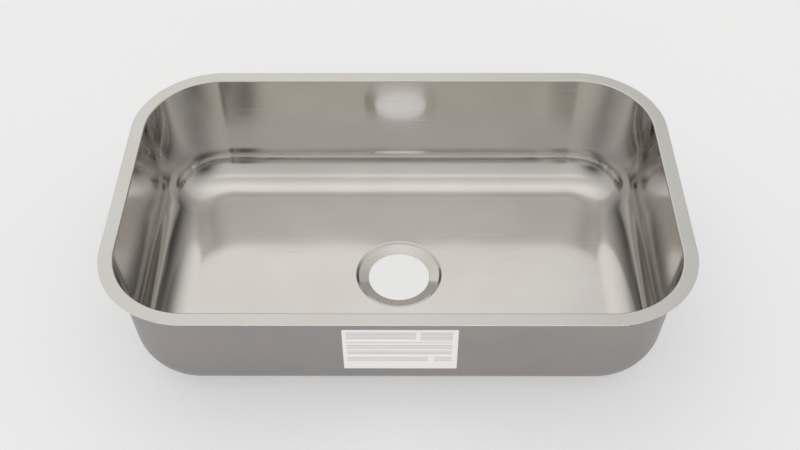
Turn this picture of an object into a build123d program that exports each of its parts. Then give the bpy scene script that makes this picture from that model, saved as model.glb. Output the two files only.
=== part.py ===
"""Undermount kitchen sink: a drawn steel bowl with a flat flange, two sound pads and a label.

Millimetres, +Z up, +Y towards the back of the worktop. The origin is on the outlet's axis,
at the lowest point of the bowl, so the bowl stands on Z = 0.
"""

import os
from math import cos, hypot, radians, tan

from build123d import *

# Flange: the flat rim that is fastened against the underside of the worktop
flange_length = 760.0
flange_depth = 474.0
flange_corner_radius = 121.0
flange_reach = 19.0

# Bowl, measured on its inner face
sheet_thickness = 1.0
bowl_depth = 181.4
wall_draft = 3.3
rim_bend_radius = 1.2
floor_blend_radius = 60.5
floor_fall = 1.5

# Outlet: a stepped recess round the waste hole, with a seat that slopes to the hole
outlet_rim_radius = 67.0
recess_radius = 62.8
recess_step_run = 4.0
recess_step_drop = 2.6
recess_bend_radius = 1.8
seat_fall = 4.1
outlet_radius = 44.5

# Sound pads, bonded under the floor on each side of the outlet
pad_length = 190.0
pad_width = 236.0
pad_corner_radius = 14.0
pad_thickness = 2.4

# Label, stuck on the outside of the front wall
label_length = 145.0
label_height = 88.0
label_thickness = 0.2
label_corner_radius = 1.5
label_top_drop = 34.8
label_shift = 3.3

# Heights, counted up from the underside of the outlet's edge
seat_slope = seat_fall / (recess_radius - recess_step_run - outlet_radius)
seat_edge_height = sheet_thickness * hypot(1.0, seat_slope)
recess_foot_height = seat_edge_height + seat_fall
recess_top_height = recess_foot_height + recess_step_drop
floor_edge_height = recess_top_height + floor_fall
flange_top = floor_edge_height + bowl_depth

# The opening in the flange's top face, before the rim is bent over
opening_length = flange_length - 2 * flange_reach
opening_depth = flange_depth - 2 * flange_reach
opening_corner_radius = flange_corner_radius - flange_reach
wall_angle = radians(wall_draft)

# Each pad lies midway between the outlet's rim and the end of the flat floor
wall_run = bowl_depth * tan(wall_angle)
blend_run = floor_blend_radius * tan(radians(90 - wall_draft) / 2)
floor_half_length = opening_length / 2 - wall_run - blend_run
pad_centre = (outlet_rim_radius + floor_half_length) / 2


def mitre(before, corner, after, distance):
    """The corner of a bent line after both of its runs move outwards by `distance`."""
    first = Vector(corner) - Vector(before)
    second = Vector(after) - Vector(corner)
    first_normal = Vector(-first.Y, first.X).normalized()
    second_normal = Vector(-second.Y, second.X).normalized()
    shift = (first_normal + second_normal) * (distance / (1 + first_normal.dot(second_normal)))
    return (corner[0] + shift.X, corner[1] + shift.Y)


def tub_space(grow):
    """The space down to the floor, inside a face `grow` outside the bowl's inner face."""
    wall_grow = grow / cos(wall_angle)
    with BuildPart() as tub:
        with BuildSketch(Plane.XY.offset(flange_top)):
            RectangleRounded(
                opening_length + 2 * wall_grow,
                opening_depth + 2 * wall_grow,
                opening_corner_radius + wall_grow,
            )
        extrude(amount=bowl_depth + grow, dir=(0, 0, -1), taper=wall_draft)
        fillet(tub.edges().group_by(Axis.Z)[0], floor_blend_radius + grow)
        # The floor falls from its edge to the circle where the recess starts
        floor_face = tub.faces().sort_by(Axis.Z)[0]
        with BuildSketch(Plane.XY.offset(recess_top_height - grow)) as rim_circle:
            Circle(outlet_rim_radius)
        loft([floor_face, rim_circle.sketch.face()], ruled=True)
    return tub.part


def recess_space(grow):
    """The space in the stepped recess, inside a face `grow` outside its inner face."""
    rim = (outlet_rim_radius, recess_top_height)
    step_top = (recess_radius, recess_top_height)
    step_foot = (recess_radius - recess_step_run, recess_foot_height)
    seat_edge = (outlet_radius, seat_edge_height)
    grown_top = mitre(rim, step_top, step_foot, grow)
    grown_foot = mitre(step_top, step_foot, seat_edge, grow)
    grown_edge_height = seat_edge_height - grow * hypot(1.0, seat_slope)
    with BuildPart() as recess:
        with BuildSketch(Plane.XZ) as section:
            with BuildLine():
                Polyline(
                    (0, recess_top_height - grow),
                    grown_top,
                    grown_foot,
                    (outlet_radius, grown_edge_height),
                    (0, grown_edge_height),
                    close=True,
                )
            make_face()
            foot_corner = section.vertices().sort_by_distance(grown_foot)[0]
            fillet(foot_corner, recess_bend_radius + grow)
        revolve(axis=Axis.Z)
    return recess.part


def sound_pad(side):
    """A rubber pad that follows the floor's underside; side is -1 on the left, 1 on the right."""
    with BuildPart() as pad:
        add(tub_space(sheet_thickness + pad_thickness))
        add(tub_space(sheet_thickness), mode=Mode.SUBTRACT)
        with BuildSketch():
            with Locations((side * pad_centre, 0)):
                RectangleRounded(pad_length, pad_width, pad_corner_radius)
        extrude(amount=floor_edge_height, mode=Mode.INTERSECT)
    return pad.part


# Bowl: flange, walls, floor and outlet in one sheet
with BuildPart() as sink_bowl:
    with BuildSketch(Plane.XY.offset(flange_top - sheet_thickness)):
        RectangleRounded(flange_length, flange_depth, flange_corner_radius)
    extrude(amount=sheet_thickness)
    add(tub_space(sheet_thickness))
    add(recess_space(sheet_thickness))
    add(tub_space(0.0), mode=Mode.SUBTRACT)
    add(recess_space(0.0), mode=Mode.SUBTRACT)
    with BuildSketch():
        Circle(outlet_radius)
    extrude(amount=recess_top_height, mode=Mode.SUBTRACT)
    # The sheet bends over from the flange to the wall
    rim_top = sink_bowl.faces().sort_by(Axis.Z)[-1]
    fillet(rim_top.inner_wires()[0].edges(), rim_bend_radius + sheet_thickness)
    rim_underside = sink_bowl.faces().filter_by(Axis.Z).sort_by(Axis.Z)[-2]
    fillet(rim_underside.inner_wires()[0].edges(), rim_bend_radius)
    # and again from the floor into the recess
    for height, radius in (
        (recess_top_height, recess_bend_radius + sheet_thickness),
        (recess_top_height - sheet_thickness, recess_bend_radius),
    ):
        level_edges = sink_bowl.edges().filter_by_position(Axis.Z, height - 0.01, height + 0.01)
        fillet(level_edges.filter_by(GeomType.CIRCLE).sort_by(SortBy.RADIUS)[0], radius)
sink_bowl.part.label = "sink_bowl"

# Sound pads
sound_pad_left = sound_pad(-1)
sound_pad_left.label = "sound_pad_left"
sound_pad_right = sound_pad(1)
sound_pad_right.label = "sound_pad_right"

# Label, flat on the front wall's outer face
wall_at_label = opening_depth / 2 + sheet_thickness / cos(wall_angle) - label_top_drop * tan(wall_angle)
label_plane = Plane(
    origin=(0, -wall_at_label, flange_top - label_top_drop),
    x_dir=(1, 0, 0),
    z_dir=Vector(0, -1, -tan(wall_angle)),
)
with BuildPart() as front_label:
    with BuildSketch(label_plane):
        with Locations((label_shift, -label_height / 2)):
            RectangleRounded(label_length, label_height, label_corner_radius)
    extrude(amount=label_thickness)
front_label.part.label = "front_label"

export_step(sink_bowl.part, "parts/sink_bowl.step")
export_step(sound_pad_left, "parts/sound_pad_left.step")
export_step(sound_pad_right, "parts/sound_pad_right.step")
export_step(front_label.part, "parts/front_label.step")
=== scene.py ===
import math

import bpy
from mathutils import Matrix, Vector


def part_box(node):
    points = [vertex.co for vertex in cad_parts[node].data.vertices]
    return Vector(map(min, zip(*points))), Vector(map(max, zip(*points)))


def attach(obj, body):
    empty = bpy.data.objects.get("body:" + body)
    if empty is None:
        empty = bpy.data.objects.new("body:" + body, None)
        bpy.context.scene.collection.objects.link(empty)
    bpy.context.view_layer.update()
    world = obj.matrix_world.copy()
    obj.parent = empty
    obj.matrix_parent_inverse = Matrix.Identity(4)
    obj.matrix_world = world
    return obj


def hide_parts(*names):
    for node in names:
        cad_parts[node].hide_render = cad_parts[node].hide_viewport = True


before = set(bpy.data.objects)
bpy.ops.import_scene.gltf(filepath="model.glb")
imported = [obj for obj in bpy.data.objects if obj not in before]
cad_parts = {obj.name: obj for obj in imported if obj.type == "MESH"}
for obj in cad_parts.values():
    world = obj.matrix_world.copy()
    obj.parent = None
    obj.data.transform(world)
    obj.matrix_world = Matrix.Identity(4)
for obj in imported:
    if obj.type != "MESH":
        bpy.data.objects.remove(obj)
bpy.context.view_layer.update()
print("frame loaded,", len(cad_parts), "nodes")

mm = 0.001
halfStep = 0.5  # keeps counted numbers clear of rounding
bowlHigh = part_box("sink_bowl")[1]  # the flange's reach to the right and the back, and its top


# Helpers for node trees

def fill(tree, sockets, values):
    # A value from another node is linked, and any other is set on the socket itself
    for socket, value in zip(sockets, values):
        if isinstance(value, bpy.types.NodeSocket):
            tree.links.new(value, socket)
        else:
            socket.default_value = value


def setInputs(tree, node, inputs):
    fill(tree, [node.inputs[key] for key in inputs], inputs.values())


def addNode(tree, kind, inputs=None, **settings):
    node = tree.nodes.new(kind)
    for name, value in settings.items():
        setattr(node, name, value)
    setInputs(tree, node, inputs or {})
    return node


def calc(tree, operation, *values):
    node = addNode(tree, "ShaderNodeMath", operation=operation)
    fill(tree, node.inputs, values)
    return node.outputs[0]


def vectorCalc(tree, operation, *values):
    node = addNode(tree, "ShaderNodeVectorMath", operation=operation)
    fill(tree, node.inputs, values)
    return node.outputs[0]


def scaled(tree, vector, factor):
    inputs = {0: vector, "Scale": factor}
    return addNode(tree, "ShaderNodeVectorMath", inputs, operation="SCALE").outputs[0]


def joinXyz(tree, x, y, z):
    return addNode(tree, "ShaderNodeCombineXYZ", {"X": x, "Y": y, "Z": z}).outputs[0]


def splitXyz(tree, vector):
    return addNode(tree, "ShaderNodeSeparateXYZ", {0: vector}).outputs


def newTree(name, inputs):
    # A Geometry Nodes tree with named inputs; returns the tree and its input node's sockets
    tree = bpy.data.node_groups.new(name, "GeometryNodeTree")
    tree.interface.new_socket("Geometry", in_out="OUTPUT", socket_type="NodeSocketGeometry")
    for title, kind in inputs.items():
        tree.interface.new_socket(title, in_out="INPUT", socket_type="NodeSocket" + kind)
    return tree, addNode(tree, "NodeGroupInput").outputs


def finishTree(tree, geometry, materials):
    # Every tree ends with real geometry and its materials, each with its choice of faces
    shape = addNode(tree, "GeometryNodeRealizeInstances", {"Geometry": geometry}).outputs[0]
    for material, faces in materials:
        shape = addNode(tree, "GeometryNodeSetMaterial", {
            "Geometry": shape, "Material": material, "Selection": faces}).outputs[0]
    addNode(tree, "NodeGroupOutput", {0: shape})


def objectShape(tree, source):
    return addNode(tree, "GeometryNodeObjectInfo", {"Object": source}).outputs["Geometry"]


def ownPlace(tree):
    return addNode(tree, "GeometryNodeInputPosition").outputs[0]


def sample(tree, geometry, value, index, kind="FLOAT_VECTOR"):
    inputs = {"Geometry": geometry, "Value": value, "Index": index}
    return addNode(tree, "GeometryNodeSampleIndex", inputs, data_type=kind).outputs[0]


def named(tree, name, kind="FLOAT"):
    node = addNode(tree, "GeometryNodeInputNamedAttribute", {"Name": name}, data_type=kind)
    return node.outputs[0]


def pointCount(tree, geometry):
    size = addNode(tree, "GeometryNodeAttributeDomainSize", {"Geometry": geometry})
    return size.outputs["Point Count"]


def wrappedGrid(tree, section, outline):
    # A grid with a row for each section point and a column for each outline point, and one more of
    # each to close it on itself. The last ones repeat the first ones' numbers.
    rows = pointCount(tree, section)
    columns = pointCount(tree, outline)
    rowsPlus = calc(tree, "ADD", rows, 1)
    inputs = {"Vertices X": calc(tree, "ADD", columns, 1), "Vertices Y": rowsPlus}
    grid = addNode(tree, "GeometryNodeMeshGrid", inputs).outputs["Mesh"]
    number = addNode(tree, "GeometryNodeInputIndex").outputs[0]
    shares = calc(tree, "DIVIDE", calc(tree, "ADD", number, halfStep), rowsPlus)
    column = calc(tree, "FLOOR", shares)
    row = calc(tree, "SUBTRACT", number, calc(tree, "MULTIPLY", column, rowsPlus))
    lastRow = calc(tree, "COMPARE", row, rows, halfStep)
    lastColumn = calc(tree, "COMPARE", column, columns, halfStep)
    row = calc(tree, "SUBTRACT", row, calc(tree, "MULTIPLY", lastRow, rows))
    column = calc(tree, "SUBTRACT", column, calc(tree, "MULTIPLY", lastColumn, columns))
    return grid, row, column, lastRow, lastColumn


def movedTo(tree, shape, place):
    inputs = {"Geometry": shape, "Position": place}
    return addNode(tree, "GeometryNodeSetPosition", inputs).outputs[0]


def merged(tree, shape, distance):
    inputs = {"Geometry": shape, "Distance": distance}
    return addNode(tree, "GeometryNodeMergeByDistance", inputs).outputs[0]


def smooth(tree, shape):
    return addNode(tree, "GeometryNodeSetShadeSmooth", {"Geometry": shape}).outputs[0]


def withUv(tree, shape, value):
    # Keeps a vector that is worked out for each point as the piece's own UV map
    onPoints = addNode(tree, "GeometryNodeFieldOnDomain", {0: value}, data_type="FLOAT_VECTOR",
                       domain="POINT").outputs[0]
    inputs = {"Geometry": shape, "Name": "UVMap", "Value": onPoints}
    return addNode(tree, "GeometryNodeStoreNamedAttribute", inputs, data_type="FLOAT2",
                   domain="CORNER").outputs[0]


def placed(name, mesh):
    obj = bpy.data.objects.new(name, mesh)
    bpy.context.scene.collection.objects.link(obj)
    return obj


def guideMesh(name, points, **attributes):
    # Loose points that a tree follows, with a named number or vector for each
    mesh = bpy.data.meshes.new(name)
    mesh.from_pydata(points, [], [])
    for key, values in attributes.items():
        isVector = isinstance(values[0], Vector)
        layer = mesh.attributes.new(key, "FLOAT_VECTOR" if isVector else "FLOAT", "POINT")
        for item, value in zip(layer.data, values):
            setattr(item, "vector" if isVector else "value", value)
    return placed(name, mesh)


def runTree(name, tree, values, guides):
    # Runs a tree once, keeps its result as a plain mesh and clears the guides away
    obj = placed(name, bpy.data.meshes.new(name))
    modifier = obj.modifiers.new(name, "NODES")
    modifier.node_group = tree
    for item in tree.interface.items_tree:
        if item.in_out == "INPUT":
            modifier[item.identifier] = values[item.name]
    graph = bpy.context.evaluated_depsgraph_get()
    mesh = bpy.data.meshes.new_from_object(obj.evaluated_get(graph), depsgraph=graph)
    obj.modifiers.remove(modifier)
    obj.data = mesh
    for guide in guides:
        bpy.data.objects.remove(guide)
    return obj


# Helpers for materials

def newMaterial(name):
    material = bpy.data.materials.new(name)
    material.use_nodes = True
    tree = material.node_tree
    return material, tree, tree.nodes["Principled BSDF"]


def objectPlace(tree):
    return addNode(tree, "ShaderNodeTexCoord").outputs["Object"]


def alongSurface(tree):
    # The piece's own lengths along its surface
    return addNode(tree, "ShaderNodeUVMap", uv_map="UVMap").outputs[0]


def noise(tree, place, scale, detail=2.0, roughness=0.5):
    inputs = {"Vector": place, "Scale": scale, "Detail": detail, "Roughness": roughness}
    return addNode(tree, "ShaderNodeTexNoise", inputs).outputs[0]


def streaks(tree, place, scales, detail=2.0):
    # Noise drawn out into lines, with a low scale along them and a high one across
    return noise(tree, vectorCalc(tree, "MULTIPLY", place, scales), 1.0, detail)


def swing(tree, value, amount, middle=0.0):
    # middle, plus or minus amount as the value goes from 0 to 1
    fromHalf = calc(tree, "SUBTRACT", value, 0.5)
    return calc(tree, "MULTIPLY_ADD", fromHalf, 2 * amount, middle)


def smoothStep(tree, value, start, end):
    inputs = {"Value": value, "From Min": start, "From Max": end}
    node = addNode(tree, "ShaderNodeMapRange", inputs, interpolation_type="SMOOTHSTEP")
    return node.outputs[0]


def blended(tree, factor, first, last, kind="FLOAT"):
    # A mix of two numbers, vectors or colours
    node = addNode(tree, "ShaderNodeMix", data_type=kind)
    sockets = [socket for socket in node.inputs if socket.enabled]
    fill(tree, sockets, (factor, first, last))
    return next(socket for socket in node.outputs if socket.enabled)


def clouded(tree, cloud, finish, thin, thick):
    # From one of the finish's colours to another as the cloud thickens
    share = smoothStep(tree, cloud, *finish["cloudEdges"])
    return blended(tree, share, finish[thin], finish[thick], "RGBA")


def bumped(tree, height, depth=1.0):
    # A relief for the shader's normal; a height that is in metres needs no depth
    inputs = {"Height": height, "Strength": 1.0, "Distance": depth}
    return addNode(tree, "ShaderNodeBump", inputs).outputs[0]


# Bowl: one pressed sheet, its section swept round a rounded rectangle

bowlDesign = {
    "flangeReach": 19.0 * mm,
    "flangeCorner": 121.0 * mm,
    "sheet": 1.0 * mm,
    "rimBend": 1.2 * mm,
    "wallDraft": math.radians(3.3),
    "depth": 181.4 * mm,
    "floorBlend": 60.5 * mm,
    "floorStart": 67.8 * mm,  # the inset where the outline starts to turn into a circle
    "floorFall": 1.5 * mm,
    "outletRimRadius": 67.0 * mm,
    "recessRadius": 62.8 * mm,
    "stepRun": 4.0 * mm,
    "stepDrop": 2.6 * mm,
    "recessBend": 1.8 * mm,
    "seatFall": 4.1 * mm,
    "outletRadius": 44.5 * mm,
    "edgeRound": 0.2 * mm,
    "hold": 0.35 * mm,  # a point stands this far past each bend, which keeps its shading on it
    "merge": 0.01 * mm,
    "steps": {
        "rimBend": 8, "wall": 12, "blend": 36, "floor": 26, "recessBend": 6, "seat": 5,
        "corner": 24,
        "side": math.radians(3.0),  # the longest step along a straight side, seen from the outlet
    },
    "inside": {
        "color": (0.74, 0.72, 0.692, 1.0), "shade": (0.695, 0.671, 0.644, 1.0),
        "roughness": 0.1, "smear": 0.75,
        "hairLength": 30.0, "hairFineness": 2600.0, "hairRoughness": 0.035,
        "hairDepth": 0.0025 * mm,
        "cloudSize": 7.0, "cloudEdges": (0.3, 0.7), "cloudRoughness": 0.03,
        "rippleSize": 16.0, "rippleDepth": 0.05 * mm,
        "scratchLength": 9.0, "scratchFineness": 900.0, "scratchEdges": (0.7, 0.78),
        "scratchAmount": 0.1,
    },
    "flange": {
        "color": (0.73, 0.725, 0.706, 1.0), "shade": (0.7, 0.686, 0.662, 1.0), "roughness": 0.3,
        "hairLength": 14.0, "hairFineness": 1500.0, "hairRoughness": 0.07,
        "hairDepth": 0.004 * mm,
        "cloudSize": 9.0, "cloudEdges": (0.3, 0.7), "cloudRoughness": 0.04,
    },
    "outside": {
        "color": (0.365, 0.336, 0.326, 1.0), "cool": (0.336, 0.329, 0.324, 1.0),
        "roughness": 0.43,
        "drawLength": 9.0, "drawFineness": 420.0, "drawRoughness": 0.06, "drawDepth": 0.006 * mm,
        "cloudSize": 11.0, "cloudEdges": (0.35, 0.65),
        "grainSize": 1400.0, "grainDepth": 0.004 * mm,
    },
}


def insideSteel(finish):
    # Polished, with fine hairlines round the walls and the seat and lengthways on the floor
    material, tree, shader = newMaterial("insideSteel")
    place = objectPlace(tree)
    flat = addNode(tree, "ShaderNodeAttribute", attribute_name="flat").outputs["Fac"]
    length, fineness = finish["hairLength"], finish["hairFineness"]
    roundHairs = streaks(tree, alongSurface(tree), (length, fineness, 1.0))
    floorHairs = streaks(tree, place, (length, fineness, fineness))
    hairs = blended(tree, flat, roundHairs, floorHairs)
    cloud = noise(tree, place, finish["cloudSize"], detail=3.0)
    ripple = noise(tree, place, finish["rippleSize"], detail=1.0, roughness=0.4)
    scratchScales = (finish["scratchLength"], finish["scratchFineness"], finish["scratchFineness"])
    scratches = streaks(tree, place, scratchScales, detail=0.0)
    scratches = smoothStep(tree, scratches, *finish["scratchEdges"])
    roughness = swing(tree, cloud, finish["cloudRoughness"], finish["roughness"])
    roughness = calc(tree, "ADD", roughness, swing(tree, hairs, finish["hairRoughness"]))
    roughness = calc(tree, "MULTIPLY_ADD", scratches, finish["scratchAmount"], roughness)
    rippleHeight = calc(tree, "MULTIPLY", ripple, finish["rippleDepth"])
    height = calc(tree, "MULTIPLY_ADD", hairs, finish["hairDepth"], rippleHeight)
    # Hairlines smear a reflection across themselves: up and down on the walls, front to back below
    upwards, backwards = (0.0, 0.0, 1.0), (0.0, 1.0, 0.0)
    across = blended(tree, flat, upwards, backwards, "VECTOR")
    setInputs(tree, shader, {
        "Base Color": clouded(tree, cloud, finish, "shade", "color"), "Metallic": 1.0,
        "Roughness": roughness, "Normal": bumped(tree, height), "Anisotropic": finish["smear"],
        "Tangent": vectorCalc(tree, "NORMALIZE", across)})
    return material


def flangeSteel(finish):
    # Satin, brushed along the rim
    material, tree, shader = newMaterial("flangeSteel")
    hairScales = (finish["hairLength"], finish["hairFineness"], 1.0)
    hairs = streaks(tree, alongSurface(tree), hairScales, detail=3.0)
    cloud = noise(tree, objectPlace(tree), finish["cloudSize"], detail=3.0)
    roughness = swing(tree, cloud, finish["cloudRoughness"], finish["roughness"])
    roughness = calc(tree, "ADD", roughness, swing(tree, hairs, finish["hairRoughness"]))
    setInputs(tree, shader, {
        "Base Color": clouded(tree, cloud, finish, "shade", "color"), "Metallic": 1.0,
        "Roughness": roughness, "Normal": bumped(tree, hairs, finish["hairDepth"])})
    return material


def outsideSteel(finish):
    # As the press left it: matt, clouded warm and cool, with faint draw marks down the walls
    material, tree, shader = newMaterial("outsideSteel")
    place = objectPlace(tree)
    drawScales = (finish["drawFineness"], finish["drawLength"], 1.0)
    draws = streaks(tree, alongSurface(tree), drawScales, detail=3.0)
    cloud = noise(tree, place, finish["cloudSize"], detail=4.0, roughness=0.55)
    grain = noise(tree, place, finish["grainSize"], detail=1.0)
    grainHeight = calc(tree, "MULTIPLY", grain, finish["grainDepth"])
    height = calc(tree, "MULTIPLY_ADD", draws, finish["drawDepth"], grainHeight)
    setInputs(tree, shader, {
        "Base Color": clouded(tree, cloud, finish, "cool", "color"), "Metallic": 1.0,
        "Roughness": swing(tree, draws, finish["drawRoughness"], finish["roughness"]),
        "Normal": bumped(tree, height)})
    return material


def roundedCorner(before, corner, after, radius, steps):
    # The arc that rounds one corner of a line, with a holding point on the straight at each end
    toBefore = (before - corner).normalized()
    toAfter = (after - corner).normalized()
    half = toBefore.angle(toAfter) / 2
    reach = radius / math.tan(half)
    centre = corner + (toBefore + toAfter).normalized() * (radius / math.sin(half))
    start = (corner + toBefore * reach - centre).normalized()
    end = (corner + toAfter * reach - centre).normalized()
    points = [centre + start.slerp(end, i / steps) * radius for i in range(steps + 1)]
    hold = reach + bowlDesign["hold"]
    return [corner + toBefore * hold] + points + [corner + toAfter * hold]


def between(first, last, steps):
    return [first.lerp(last, i / steps) for i in range(1, steps)]


def upperLine(halfWidth, top):
    # The sheet's upper face from the flange's edge to the outlet; x is the inset from the opening.
    # It comes as the flange, the inside, and how far each inside point belongs to the floor.
    size, steps = bowlDesign, bowlDesign["steps"]
    footRadius = size["recessRadius"] - size["stepRun"]
    seatSlope = size["seatFall"] / (footRadius - size["outletRadius"])
    seatHeight = size["sheet"] * math.hypot(1.0, seatSlope)
    seatEdge = Vector((halfWidth - size["outletRadius"], seatHeight))
    foot = Vector((halfWidth - footRadius, seatEdge.y + size["seatFall"]))
    stepTop = Vector((halfWidth - size["recessRadius"], foot.y + size["stepDrop"]))
    rim = Vector((halfWidth - size["outletRimRadius"], stepTop.y))
    floorHeight = top - size["depth"]
    floorStart = Vector((size["floorStart"], floorHeight))
    wallFoot = Vector((size["depth"] * math.tan(size["wallDraft"]), floorHeight))
    opening = Vector((0.0, top))
    flangeEdge = Vector((size["edgeRound"] - size["flangeReach"], top))

    # The rim's bend starts on the flange: its holding point and its first two points belong there
    rimRadius = size["rimBend"] + size["sheet"]
    rimBend = roundedCorner(flangeEdge, opening, wallFoot, rimRadius, steps["rimBend"])
    onFlange = 3
    flange = [flangeEdge, flangeEdge + Vector((size["hold"], 0.0))] + rimBend[:onFlange]
    blend = roundedCorner(opening, wallFoot, floorStart, size["floorBlend"], steps["blend"])[:-1]
    wall = rimBend[onFlange:] + between(rimBend[-1], blend[0], steps["wall"])
    floor = []
    for i in range(steps["floor"] + 1):  # the floor eases down to the recess
        share = i / steps["floor"]
        ease = share * share * (3 - 2 * share)
        inset = floorStart.x + (rim.x - floorStart.x) * share
        floor.append(Vector((inset, floorHeight - size["floorFall"] * ease)))
    bend, bendSteps = size["recessBend"], steps["recessBend"]
    recess = roundedCorner(rim, stepTop, foot, bend + size["sheet"], bendSteps)
    recess += roundedCorner(stepTop, foot, seatEdge, bend, bendSteps)
    seatEnd = seatEdge + (foot - seatEdge).normalized() * size["edgeRound"]
    holdEnd = seatEnd + (foot - seatEdge).normalized() * size["hold"]
    recess += between(recess[-1], holdEnd, steps["seat"]) + [holdEnd, seatEnd]
    blendShare = [i / len(blend) for i in range(len(blend))]
    flat = [0.0] * len(wall) + blendShare + [1.0] * len(floor) + [0.0] * len(recess)
    return flange, wall + blend + floor + recess, flat


def offsetLine(line, distance):
    # The same line, moved to its right
    moved = []
    for i, point in enumerate(line):
        runs = [line[k + 1] - line[k] for k in (i - 1, i) if 0 <= k < len(line) - 1]
        normals = [Vector((run.y, -run.x)).normalized() for run in runs]
        middle = (normals[0] + normals[-1]).normalized()
        moved.append(point + middle * (distance / middle.dot(normals[0])))
    return moved


def sheetEdge(first, last, outward):
    # The two rounded corners of a cut edge
    step = (last - first).normalized() * bowlDesign["edgeRound"]
    out = outward.normalized() * bowlDesign["edgeRound"]
    return [first + step + out, last - step + out]


# The sheet's three finishes, as numbers on its points; a cut edge is finished as the flange is
zoneNumber = {"outside": 0.0, "flange": 1.0, "inside": 2.0}
zoneMargin = 0.4


def bowlSection(halfWidth, top):
    # The closed outline of the sheet's section, with each point's zone and how far it belongs to
    # the floor
    flange, inside, insideFlat = upperLine(halfWidth, top)
    upper = flange + inside
    lower = offsetLine(upper, bowlDesign["sheet"])
    outletEdge = sheetEdge(upper[-1], lower[-1], upper[-1] - upper[-2])
    flangeEdge = sheetEdge(lower[0], upper[0], upper[0] - upper[1])
    stretches = [("flange", flange), ("inside", inside), ("flange", outletEdge),
                 ("outside", lower[::-1]), ("flange", flangeEdge)]
    line = [point for zone, points in stretches for point in points]
    zones = [zoneNumber[zone] for zone, points in stretches for point in points]
    flat = [0.0] * len(flange) + insideFlat + [0.0] * (len(line) - len(upper))
    return line, zones, flat


def roundedOutline(halfLength, halfWidth, radius, sideStep, cornerSteps, seenRadius=0.0):
    # Stations round a rounded rectangle: the corners' centre line, and the way the rim leans out
    # from it. On the sides they stand in even steps as seen from the middle, sideStep apart.
    cornerX = halfLength - radius
    cornerY = halfWidth - radius
    spine = []
    lean = []
    for turn in range(4):
        facing = turn * math.pi / 2
        along, across = (cornerX, cornerY) if turn % 2 == 0 else (cornerY, cornerX)
        reach = math.atan2(along, across + seenRadius)
        count = math.ceil(2 * reach / sideStep)
        direction = Vector((math.sin(facing), -math.cos(facing), 0.0))
        sideways = Vector((math.cos(facing), math.sin(facing), 0.0))
        for i in range(count):
            offset = (across + seenRadius) * math.tan(reach * (2 * i / count - 1))
            spine.append(direction * across + sideways * offset)
            lean.append(direction)
        for i in range(cornerSteps):
            angle = facing + (i / cornerSteps) * math.pi / 2
            spine.append(direction * across + sideways * along)
            lean.append(Vector((math.sin(angle), -math.cos(angle), 0.0)))
    return spine, lean


def runningLength(points):
    total = [0.0]
    for first, last in zip(points, points[1:] + points[:1]):
        total.append(total[-1] + (last - first).length)
    return total


def bowlTree(finishes):
    tree, given = newTree("bowlTree", {
        "Section": "Object", "Outline": "Object", "Corner Radius": "Float", "Half Width": "Float",
        "Floor Start": "Float", "Outlet Rim": "Float", "Section Length": "Float",
        "Outline Length": "Float", "Merge": "Float"})
    section = objectShape(tree, given["Section"])
    outline = objectShape(tree, given["Outline"])
    grid, row, column, lastRow, lastColumn = wrappedGrid(tree, section, outline)
    sectionPoint = splitXyz(tree, sample(tree, section, ownPlace(tree), row))
    inset, height = sectionPoint["X"], sectionPoint["Z"]
    spine = sample(tree, outline, ownPlace(tree), column)
    lean = sample(tree, outline, named(tree, "lean", "FLOAT_VECTOR"), column)

    # Walls keep the outline's shape, the outlet is round, and the floor blends one into the other
    floorStart, halfWidth = given["Floor Start"], given["Half Width"]
    rimInset = calc(tree, "SUBTRACT", halfWidth, given["Outlet Rim"])
    wallInset = calc(tree, "MINIMUM", inset, floorStart)
    wallReach = calc(tree, "SUBTRACT", given["Corner Radius"], wallInset)
    onWall = vectorCalc(tree, "ADD", spine, scaled(tree, lean, wallReach))
    roundReach = calc(tree, "SUBTRACT", halfWidth, calc(tree, "MAXIMUM", inset, rimInset))
    onRound = scaled(tree, vectorCalc(tree, "NORMALIZE", onWall), roundReach)
    blend = addNode(tree, "ShaderNodeMapRange", {
        "Value": inset, "From Min": floorStart, "From Max": rimInset}).outputs[0]
    spot = splitXyz(tree, blended(tree, blend, onWall, onRound, "VECTOR"))
    shape = movedTo(tree, grid, joinXyz(tree, spot["X"], spot["Y"], height))

    # Lengths round the bowl and down the sheet, for the grain of the finish
    aroundHere = sample(tree, outline, named(tree, "run"), column, "FLOAT")
    downHere = sample(tree, section, named(tree, "run"), row, "FLOAT")
    around = calc(tree, "MULTIPLY_ADD", lastColumn, given["Outline Length"], aroundHere)
    down = calc(tree, "MULTIPLY_ADD", lastRow, given["Section Length"], downHere)
    shape = withUv(tree, shape, joinXyz(tree, around, down, 0.0))
    for name in ("zone", "flat"):
        value = sample(tree, section, named(tree, name), row, "FLOAT")
        inputs = {"Geometry": shape, "Name": name, "Value": value}
        shape = addNode(tree, "GeometryNodeStoreNamedAttribute", inputs, data_type="FLOAT",
                        domain="POINT").outputs[0]
    shape = smooth(tree, merged(tree, shape, given["Merge"]))

    # A face is inside or outside only where all its corners are
    zone = named(tree, "zone")
    isInside = calc(tree, "GREATER_THAN", zone, zoneNumber["inside"] - zoneMargin)
    isOutside = calc(tree, "LESS_THAN", zone, zoneNumber["outside"] + zoneMargin)
    finishTree(tree, shape, [(finishes["flange"], True), (finishes["inside"], isInside),
                             (finishes["outside"], isOutside)])
    return tree


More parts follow.
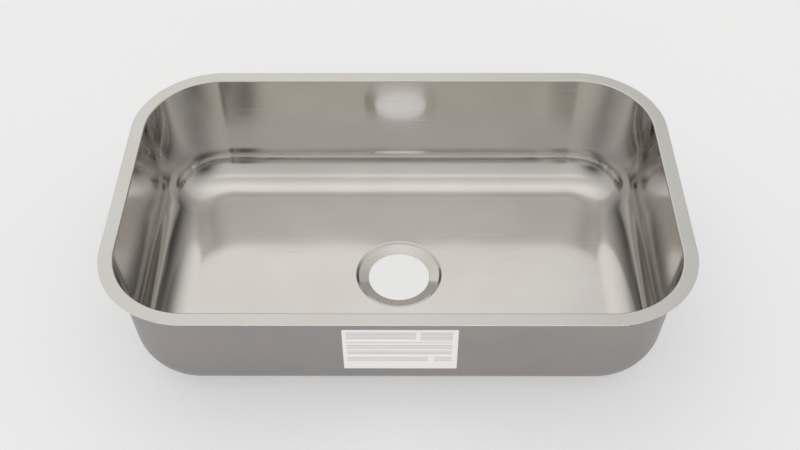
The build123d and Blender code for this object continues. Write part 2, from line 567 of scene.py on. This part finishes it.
def makeBowl():
    size, steps = bowlDesign, bowlDesign["steps"]
    finishes = {
        "inside": insideSteel(size["inside"]),
        "flange": flangeSteel(size["flange"]),
        "outside": outsideSteel(size["outside"]),
    }
    halfLength = bowlHigh.x - size["flangeReach"]
    halfWidth = bowlHigh.y - size["flangeReach"]
    radius = size["flangeCorner"] - size["flangeReach"]
    line, zones, flat = bowlSection(halfWidth, bowlHigh.z)
    spine, lean = roundedOutline(halfLength, halfWidth, radius, steps["side"], steps["corner"],
                                 radius - size["floorStart"])
    opening = [point + way * radius for point, way in zip(spine, lean)]
    sectionRun, outlineRun = runningLength(line), runningLength(opening)
    section = guideMesh("bowlSection", [(point.x, 0.0, point.y) for point in line],
                        run=sectionRun[:-1], zone=zones, flat=flat)
    outline = guideMesh("bowlOutline", spine, run=outlineRun[:-1], lean=lean)
    bowl = runTree("sinkBowl", bowlTree(finishes), {
        "Section": section, "Outline": outline, "Corner Radius": radius, "Half Width": halfWidth,
        "Floor Start": size["floorStart"], "Outlet Rim": size["outletRimRadius"],
        "Section Length": sectionRun[-1], "Outline Length": outlineRun[-1],
        "Merge": size["merge"]}, [section, outline])
    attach(bowl, "root")
    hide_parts("sink_bowl")
    return bowl


bowl = makeBowl()
print("bowl made,", len(bowl.data.polygons), "faces")


# Bonded sheets: the pads under the floor and the label on the front wall, each laid on the steel

sheetLaying = {
    "sideStep": math.radians(6.0), "cornerSteps": 8, "edgeSteps": 3, "merge": 0.002 * mm,
    "rayLength": 200.0 * mm,
}
sheetInputs = {
    "Steel": "Object", "Section": "Object", "Outline": "Object", "Centre": "Vector",
    "Across": "Vector", "Up": "Vector", "Towards": "Vector", "Length": "Float", "Height": "Float",
    "Corner Radius": "Float", "Ray Length": "Float", "Merge": "Float",
}
studInputs = {
    "Stud Pitch": "Float", "Stud Margin": "Float", "Stud Depth": "Float", "Stud Height": "Float",
    "Stud Foot": "Float", "Stud Tip": "Float", "Stud Sides": "Int", "Tolerance": "Float",
}


def sheetSection(size, thickness):
    # Rows from the middle of the bonded face, round the edge and back to the middle of the free
    # face. Each row is (inset from the outline, share of the way out, depth below the steel).
    near, far, curve = size["gap"], thickness, size["edgeRound"]
    shares = [i / size["rings"] for i in range(size["rings"] + 1)]
    rows = [(size["ringReach"], share, near) for share in shares]
    rows += [(curve, 1.0, near), (0.0, 1.0, near + curve / 2)]
    for i in range(sheetLaying["edgeSteps"] + 1):
        angle = i / sheetLaying["edgeSteps"] * math.pi / 2
        rows.append((curve * (1 - math.cos(angle)), 1.0, far - curve * (1 - math.sin(angle))))
    rows += [(size["ringReach"], share, far) for share in reversed(shares)]
    return rows


def laidOn(tree, given, steel, sides, depth):
    # A ray from a point of the sheet's own plane finds the steel, and the result lies the given
    # depth back along it
    across = scaled(tree, given["Across"], sides["X"])
    up = scaled(tree, given["Up"], sides["Y"])
    spot = vectorCalc(tree, "ADD", given["Centre"], vectorCalc(tree, "ADD", across, up))
    hit = addNode(tree, "GeometryNodeRaycast", {
        "Target Geometry": steel, "Source Position": spot, "Ray Direction": given["Towards"],
        "Ray Length": given["Ray Length"]}).outputs["Hit Position"]
    back = scaled(tree, given["Towards"], calc(tree, "MULTIPLY", depth, -1.0))
    return vectorCalc(tree, "ADD", hit, back)


def studField(tree, given, steel):
    # Round studs in rows over the free face, short of the pad's edge
    pitch, margin = given["Stud Pitch"], given["Stud Margin"]
    counts = []
    for side in (given["Length"], given["Height"]):
        room = calc(tree, "MULTIPLY_ADD", margin, -2.0, side)
        counts.append(calc(tree, "FLOOR", calc(tree, "DIVIDE", room, pitch)))
    grid = addNode(tree, "GeometryNodeMeshGrid", {
        "Size X": calc(tree, "MULTIPLY", counts[0], pitch),
        "Size Y": calc(tree, "MULTIPLY", counts[1], pitch),
        "Vertices X": calc(tree, "ADD", counts[0], 1),
        "Vertices Y": calc(tree, "ADD", counts[1], 1)}).outputs["Mesh"]
    # Points that come too near a corner of the pad are left out
    sides = splitXyz(tree, ownPlace(tree))
    corner = given["Corner Radius"]
    beyond = []
    for place, side in ((sides["X"], given["Length"]), (sides["Y"], given["Height"])):
        cornerCentre = calc(tree, "SUBTRACT", calc(tree, "MULTIPLY", side, 0.5), corner)
        past = calc(tree, "SUBTRACT", calc(tree, "ABSOLUTE", place), cornerCentre)
        beyond.append(calc(tree, "MAXIMUM", past, 0.0))
    away = addNode(tree, "ShaderNodeVectorMath", {0: joinXyz(tree, *beyond, 0.0)},
                   operation="LENGTH").outputs["Value"]
    farthest = calc(tree, "ADD", calc(tree, "SUBTRACT", corner, margin), given["Tolerance"])
    inputs = {"Geometry": grid, "Selection": calc(tree, "GREATER_THAN", away, farthest)}
    field = addNode(tree, "GeometryNodeDeleteGeometry", inputs, domain="POINT").outputs[0]
    field = movedTo(tree, field, laidOn(tree, given, steel, sides, given["Stud Depth"]))
    # A stud hangs by its foot, which is the cone's top
    height = given["Stud Height"]
    stud = addNode(tree, "GeometryNodeMeshCone", {
        "Vertices": given["Stud Sides"], "Radius Top": given["Stud Foot"],
        "Radius Bottom": given["Stud Tip"], "Depth": height}).outputs["Mesh"]
    hanging = joinXyz(tree, 0.0, 0.0, calc(tree, "MULTIPLY", height, -1.0))
    stud = addNode(tree, "GeometryNodeTransform", {
        "Geometry": stud, "Translation": hanging}).outputs[0]
    inputs = {"Points": field, "Instance": stud}
    return addNode(tree, "GeometryNodeInstanceOnPoints", inputs).outputs[0]


def sheetTree(name, material, hasStuds=False):
    # A thin sheet with rounded corners and edges, laid on the steel that lies towards it
    tree, given = newTree(name, {**sheetInputs, **studInputs} if hasStuds else sheetInputs)
    steel = objectShape(tree, given["Steel"])
    section = objectShape(tree, given["Section"])
    outline = objectShape(tree, given["Outline"])
    grid, row, column = wrappedGrid(tree, section, outline)[:3]
    rowPoint = splitXyz(tree, sample(tree, section, ownPlace(tree), row))
    inset, share, depth = rowPoint["X"], rowPoint["Y"], rowPoint["Z"]
    reach = calc(tree, "SUBTRACT", given["Corner Radius"], inset)
    spine = sample(tree, outline, ownPlace(tree), column)
    lean = sample(tree, outline, named(tree, "lean", "FLOAT_VECTOR"), column)
    flat = scaled(tree, vectorCalc(tree, "ADD", spine, scaled(tree, lean, reach)), share)
    laid = laidOn(tree, given, steel, splitXyz(tree, flat), depth)
    shape = merged(tree, movedTo(tree, withUv(tree, grid, flat), laid), given["Merge"])
    # The strip that closes the two middles on each other has shrunk to a line, which goes
    users = addNode(tree, "GeometryNodeInputMeshEdgeNeighbors").outputs[0]
    inputs = {"Geometry": shape, "Selection": calc(tree, "LESS_THAN", users, halfStep)}
    shape = addNode(tree, "GeometryNodeDeleteGeometry", inputs, domain="EDGE",
                    mode="EDGE_FACE").outputs[0]
    if hasStuds:
        joined = addNode(tree, "GeometryNodeJoinGeometry", {"Geometry": shape})
        tree.links.new(studField(tree, given, steel), joined.inputs["Geometry"])
        shape = joined.outputs[0]
    finishTree(tree, smooth(tree, shape), [(material, True)])
    return tree


def makeSheet(name, node, size, tree, spread, directions, studs=None):
    # A piece from its design, its length, height and thickness, and where its plane lies
    length, height, thickness = spread
    centre, across, up, towards = directions
    section = guideMesh(name + "Section", sheetSection(size, thickness))
    spine, lean = roundedOutline(length / 2, height / 2, size["corner"], sheetLaying["sideStep"],
                                 sheetLaying["cornerSteps"])
    outline = guideMesh(name + "Outline", spine, lean=lean)
    values = {
        "Steel": bowl, "Section": section, "Outline": outline, "Centre": centre, "Across": across,
        "Up": up, "Towards": towards, "Length": length, "Height": height,
        "Corner Radius": size["corner"], "Ray Length": sheetLaying["rayLength"],
        "Merge": sheetLaying["merge"], **(studs or {}),
    }
    sheet = runTree(name, tree, values, [section, outline])
    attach(sheet, "root")
    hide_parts(node)
    return sheet


padDesign = {
    "thickness": 2.4 * mm, "base": 1.4 * mm, "corner": 14.0 * mm, "edgeRound": 0.6 * mm,
    "gap": 0.03 * mm,
    "ringReach": 10.0 * mm, "rings": 14,  # the rings of faces end this far in from the outline
    "studPitch": 11.0 * mm, "studFoot": 3.6 * mm, "studTip": 2.9 * mm, "studMargin": 6.0 * mm,
    "studSink": 0.3 * mm, "studSides": 16, "studTolerance": 0.001 * mm,
    "laidFrom": 10.0 * mm,  # how far below the outlet's underside the rays start
    "rubber": {
        "color": (0.035, 0.035, 0.038, 1.0), "dust": (0.07, 0.068, 0.066, 1.0),
        "cloudSize": 18.0, "cloudEdges": (0.3, 0.75), "roughness": 0.62, "roughnessSwing": 0.1,
        "grainSize": 900.0, "grainDepth": 0.05 * mm,
    },
}


def padRubber(finish):
    # Black moulded rubber, slightly dusty, with a fine grain
    material, tree, shader = newMaterial("padRubber")
    place = objectPlace(tree)
    cloud = noise(tree, place, finish["cloudSize"], detail=4.0)
    grain = noise(tree, place, finish["grainSize"])
    setInputs(tree, shader, {
        "Base Color": clouded(tree, cloud, finish, "color", "dust"),
        "Roughness": swing(tree, cloud, finish["roughnessSwing"], finish["roughness"]),
        "Normal": bumped(tree, grain, finish["grainDepth"])})
    return material


def makePads():
    size = padDesign
    tree = sheetTree("padTree", padRubber(size["rubber"]), hasStuds=True)
    studs = {
        "Stud Pitch": size["studPitch"], "Stud Margin": size["studMargin"],
        "Stud Depth": size["base"] - size["studSink"],
        "Stud Height": size["thickness"] - size["base"] + size["studSink"],
        "Stud Foot": size["studFoot"], "Stud Tip": size["studTip"],
        "Stud Sides": size["studSides"], "Tolerance": size["studTolerance"],
    }
    pads = []
    for side in ("left", "right"):
        low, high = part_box("sound_pad_" + side)
        middle = (low + high) / 2
        centre = Vector((middle.x, middle.y, -size["laidFrom"]))
        directions = (centre, Vector((1, 0, 0)), Vector((0, -1, 0)), Vector((0, 0, 1)))
        spread = (high.x - low.x, high.y - low.y, size["base"])
        pad = makeSheet("soundPad" + side.capitalize(), "sound_pad_" + side, size, tree, spread,
                        directions, studs)
        pads.append(pad)
        print(pad.name, "made,", len(pad.data.polygons), "faces")
    return pads


pads = makePads()

labelDesign = {
    "thickness": 0.2 * mm, "corner": 1.5 * mm, "edgeRound": 0.05 * mm, "gap": 0.02 * mm,
    "ringReach": 1.0 * mm, "rings": 16,
    "laidFrom": 50.0 * mm,  # how far in front of the wall the rays start
    "film": {
        "color": (0.93, 0.93, 0.92, 1.0), "ink": (0.48, 0.4, 0.41, 1.0),
        "roughness": 0.42, "roughnessSwing": 0.05, "coat": 0.15,
        "fibreSize": 700.0, "fibreDepth": 0.003 * mm,
        "linePitch": 3.1 * mm, "lineShare": 0.36,
        # Blocks of plain ruled lines: left and right in mm from the label's left edge, and the
        # first and last line
        "blocks": [(5, 92, 2, 6), (5, 138, 9, 9), (5, 138, 11, 13), (5, 138, 15, 17),
                   (5, 108, 20, 22), (98, 138, 2, 7), (116, 138, 20, 22)],
    },
}


def within(tree, value, low, high):
    above = calc(tree, "GREATER_THAN", value, low)
    return calc(tree, "MULTIPLY", above, calc(tree, "LESS_THAN", value, high))


def labelFilm(finish, length, height):
    # White film with blocks of plain ruled lines, which say nothing
    material, tree, shader = newMaterial("labelFilm")
    sides = splitXyz(tree, alongSurface(tree))
    fromLeft = calc(tree, "ADD", sides["X"], length / 2)
    fromTop = calc(tree, "SUBTRACT", height / 2, sides["Y"])
    lineCount = calc(tree, "DIVIDE", fromTop, finish["linePitch"])
    number = calc(tree, "FLOOR", lineCount)
    inBlock = 0.0
    for left, right, first, last in finish["blocks"]:
        here = calc(tree, "MULTIPLY", within(tree, fromLeft, left * mm, right * mm),
                    within(tree, number, first - halfStep, last + halfStep))
        inBlock = calc(tree, "MAXIMUM", here, inBlock)
    onLine = calc(tree, "LESS_THAN", calc(tree, "FRACT", lineCount), finish["lineShare"])
    inked = calc(tree, "MULTIPLY", inBlock, onLine)
    fibre = noise(tree, objectPlace(tree), finish["fibreSize"], detail=3.0)
    setInputs(tree, shader, {
        "Base Color": blended(tree, inked, finish["color"], finish["ink"], "RGBA"),
        "Roughness": swing(tree, fibre, finish["roughnessSwing"], finish["roughness"]),
        "Coat Weight": finish["coat"], "Normal": bumped(tree, fibre, finish["fibreDepth"])})
    return material


def makeLabel():
    low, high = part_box("front_label")
    draft = bowlDesign["wallDraft"]
    length = high.x - low.x
    height = (high.z - low.z) / math.cos(draft)
    towards = Vector((0, math.cos(draft), math.sin(draft)))
    up = Vector((0, -math.sin(draft), math.cos(draft)))
    centre = (low + high) / 2 - towards * labelDesign["laidFrom"]
    tree = sheetTree("labelTree", labelFilm(labelDesign["film"], length, height))
    spread = (length, height, labelDesign["thickness"])
    label = makeSheet("frontLabel", "front_label", labelDesign, tree, spread,
                      (centre, Vector((1, 0, 0)), up, towards))
    return label


label = makeLabel()
print("label made,", len(label.data.polygons), "faces")


# Camera, as the photograph was taken; its place is given from the middle of the flange's top

cameraView = {
    "place": Vector((12.5, -1023.3, 1020.3)) * mm,
    "yaw": math.radians(-0.59),
    "pitch": math.radians(47.04),
    "roll": math.radians(-0.41),
    "focalPixels": 1075.0,
    "imageWidth": 800.0,
    "sensor": 36.0,  # in millimetres, as a camera's is
    "farthest": 50.0,
}


def makeCamera():
    view = cameraView
    data = bpy.data.cameras.new("camera")
    data.sensor_width = view["sensor"]
    data.lens = view["focalPixels"] / view["imageWidth"] * view["sensor"]
    data.clip_end = view["farthest"]
    camera = placed("camera", data)
    turned = Matrix.Rotation(-view["yaw"], 3, "Z")
    turned @= Matrix.Rotation(math.pi / 2 - view["pitch"], 3, "X")
    turned @= Matrix.Rotation(view["roll"], 3, "Z")
    flangeTop = Vector((0, 0, bowlHigh.z))
    camera.matrix_world = Matrix.Translation(view["place"] + flangeTop) @ turned.to_4x4()
    bpy.context.scene.camera = camera


makeCamera()
print("camera placed")


# Studio: a pale floor and a room of soft lights. Each light in the room has the way it lies, as
# degrees from the back wall towards the right and degrees up, how narrow it is, how many times
# longer it is sideways, and how strong. A strength below zero is a dark screen.

studio = {
    "floorSize": 40.0,
    "floorColor": (0.735, 0.74, 0.765, 1.0),
    "floorRoughness": 0.9,
    "floorGlow": 0.36,
    "glowColor": (1.0, 1.0, 1.0, 1.0),
    "roomLevel": 0.55,
    "roomColor": (1.0, 0.988, 0.95, 1.0),
}
softLights = {
    "overhead": {"turn": 0, "up": 86, "narrow": 13.5, "long": 2.4, "strength": 0.48},
    "back": {"turn": -2, "up": 33, "narrow": 9, "long": 1.2, "strength": 0.63},
    "front": {"turn": 180, "up": 37, "narrow": 15, "long": 1.6, "strength": 0.1},
    "frontStrip": {"turn": 180, "up": 56, "narrow": 200, "long": 5, "strength": 0.27},
    "screenLeft": {"turn": -139, "up": 14, "narrow": 17, "long": 1, "strength": -0.51},
    "screenRight": {"turn": 135, "up": 14, "narrow": 14, "long": 1, "strength": -0.5},
    "screenBack": {"turn": 34, "up": 31, "narrow": 17, "long": 1.4, "strength": -0.49},
    "screenLow": {"turn": 0, "up": 7.5, "narrow": 9, "long": 1, "strength": -0.7},
    "screenTop": {"turn": 20, "up": 75, "narrow": 34, "long": 3, "strength": -0.15},
    "screenCorner": {"turn": -45, "up": 20, "narrow": 60, "long": 1, "strength": -0.32},
}

# Low lamps stand round the sink, under the height of its rim, so that they light only its outside
lowLamps = {
    "distance": 1.5, "long": 2.4, "tall": 0.15, "base": 0.01,
    "watts": {"front": 9.3, "right": 3.0, "back": 3.0, "left": 3.0},
}


def makeFloor():
    # The floor's glow shows to the camera, in mirrors and through clear things, and lights nothing
    half = studio["floorSize"] / 2
    corners = [(-half, -half, 0), (half, -half, 0), (half, half, 0), (-half, half, 0)]
    mesh = bpy.data.meshes.new("studioFloor")
    mesh.from_pydata(corners, [], [(0, 1, 2, 3)])
    floor = placed("studioFloor", mesh)
    material, tree, shader = newMaterial("paleFloor")
    rays = addNode(tree, "ShaderNodeLightPath").outputs
    mirrored = calc(tree, "MAXIMUM", rays["Is Glossy Ray"], rays["Is Transmission Ray"])
    seen = calc(tree, "MAXIMUM", rays["Is Camera Ray"], mirrored)
    setInputs(tree, shader, {
        "Base Color": studio["floorColor"], "Roughness": studio["floorRoughness"],
        "Emission Color": studio["glowColor"],
        "Emission Strength": calc(tree, "MULTIPLY", seen, studio["floorGlow"])})
    mesh.materials.append(material)


def lightLevel(tree, way):
    # How bright the room is along a direction
    level = studio["roomLevel"]
    for light in softLights.values():
        turn, up = math.radians(light["turn"]), math.radians(light["up"])
        flat = math.cos(up)
        towards = (math.sin(turn) * flat, math.cos(turn) * flat, math.sin(up))
        drawnIn = vectorCalc(tree, "MULTIPLY", way, (1 / light["long"], 1.0, 1.0))
        drawnIn = vectorCalc(tree, "NORMALIZE", drawnIn)
        aligned = addNode(tree, "ShaderNodeVectorMath", {0: drawnIn, 1: towards},
                          operation="DOT_PRODUCT").outputs["Value"]
        falloff = calc(tree, "MULTIPLY", calc(tree, "SUBTRACT", aligned, 1.0), light["narrow"])
        glow = calc(tree, "EXPONENT", falloff)
        level = calc(tree, "MULTIPLY_ADD", glow, light["strength"], level)
    return calc(tree, "MAXIMUM", level, 0.0)


def makeRoom():
    world = bpy.data.worlds.new("softRoom")
    bpy.context.scene.world = world
    world.use_nodes = True
    tree = world.node_tree
    way = addNode(tree, "ShaderNodeTexCoord").outputs["Generated"]
    setInputs(tree, tree.nodes["Background"], {
        "Color": studio["roomColor"], "Strength": lightLevel(tree, way)})


def makeLowLamps():
    lit = bpy.data.collections.new("litByLowLamps")
    for piece in [bowl, *pads, label]:
        lit.objects.link(piece)
    height = lowLamps["base"] + lowLamps["tall"] / 2
    stand = Matrix.Translation((0, -lowLamps["distance"], height))
    stand @= Matrix.Rotation(math.pi / 2, 4, "X")
    for i, (name, watts) in enumerate(lowLamps["watts"].items()):
        data = bpy.data.lights.new(name + "Lamp", "AREA")
        data.shape = "RECTANGLE"
        data.size, data.size_y = lowLamps["long"], lowLamps["tall"]
        data.energy = watts
        lamp = placed(name + "Lamp", data)
        lamp.matrix_world = Matrix.Rotation(i * math.pi / 2, 4, "Z") @ stand
        lamp.visible_camera = False
        lamp.light_linking.receiver_collection = lit


makeFloor()
makeRoom()
makeLowLamps()
bpy.context.scene.view_settings.view_transform = "Standard"
print("studio ready")
